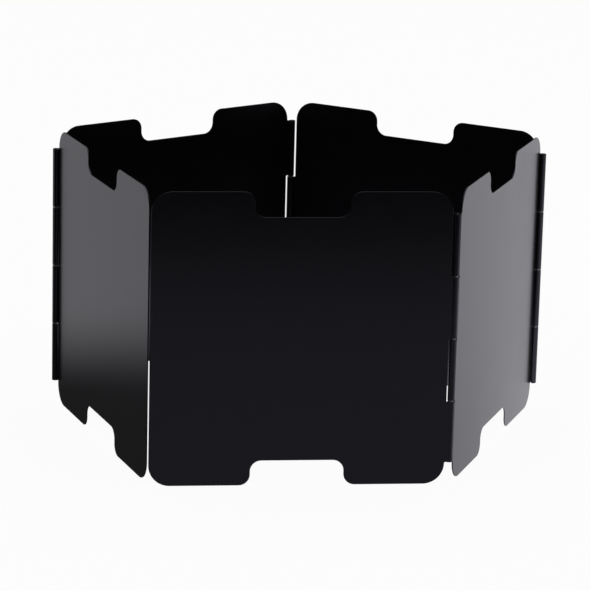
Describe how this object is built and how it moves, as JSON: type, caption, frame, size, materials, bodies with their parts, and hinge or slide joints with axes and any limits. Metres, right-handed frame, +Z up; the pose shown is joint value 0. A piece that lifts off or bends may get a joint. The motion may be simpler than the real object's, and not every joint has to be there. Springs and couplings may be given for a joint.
{
  "type": "folding stove windscreen",
  "caption": "Folding camp stove windscreen: black sheet panels with notched edges and rolled hinge eyes on steel pins, standing as a ring and folding flat.",
  "frame": {"origin": "on the ground under the middle of the standing ring's box", "axes": "+Z up along the hinge pins, +X to the right along the front panel, +Y to the back"},
  "size_m": [0.421, 0.3654, 0.24],
  "materials": {
    "black_sheet": "satin black coated aluminium sheet",
    "pin_steel": "bare drawn steel wire"
  },
  "bodies": {
    "back_right": {"back_right_panel": "black_sheet", "right_pin": "pin_steel", "back_pin": "pin_steel"},
    "right": {"right_panel": "black_sheet", "front_right_pin": "pin_steel"},
    "front": {"front_panel": "black_sheet"},
    "back_left": {"back_left_panel": "black_sheet", "left_pin": "pin_steel"},
    "left": {"left_panel": "black_sheet"}
  },
  "joints": [
    {"name": "back_hinge", "type": "hinge", "parent": "back_right", "child": "back_left", "pos_m": [0.00557, 0.17969, 0.12], "axis": [0, 0, 1], "range_deg": [0, 114.3]},
    {"name": "right_hinge", "type": "hinge", "parent": "back_right", "child": "right", "pos_m": [0.20748, 0.0407, 0.12], "axis": [0, 0, 1], "range_deg": [0, 259.9]},
    {"name": "left_hinge", "type": "hinge", "parent": "back_left", "child": "left", "pos_m": [-0.20748, 0.05846, 0.12], "axis": [0, 0, -1], "range_deg": [0, 255.05]},
    {"name": "front_hinge", "type": "hinge", "parent": "right", "child": "front", "pos_m": [0.10018, -0.17969, 0.12], "axis": [0, 0, -1], "range_deg": [-94.8, 115.2]}
  ],
  "couplings": [
    {"joint": "right_hinge", "follows": "back_hinge", "ratio": 2.2738},
    {"joint": "left_hinge", "follows": "back_hinge", "ratio": 2.2314}
  ]
}
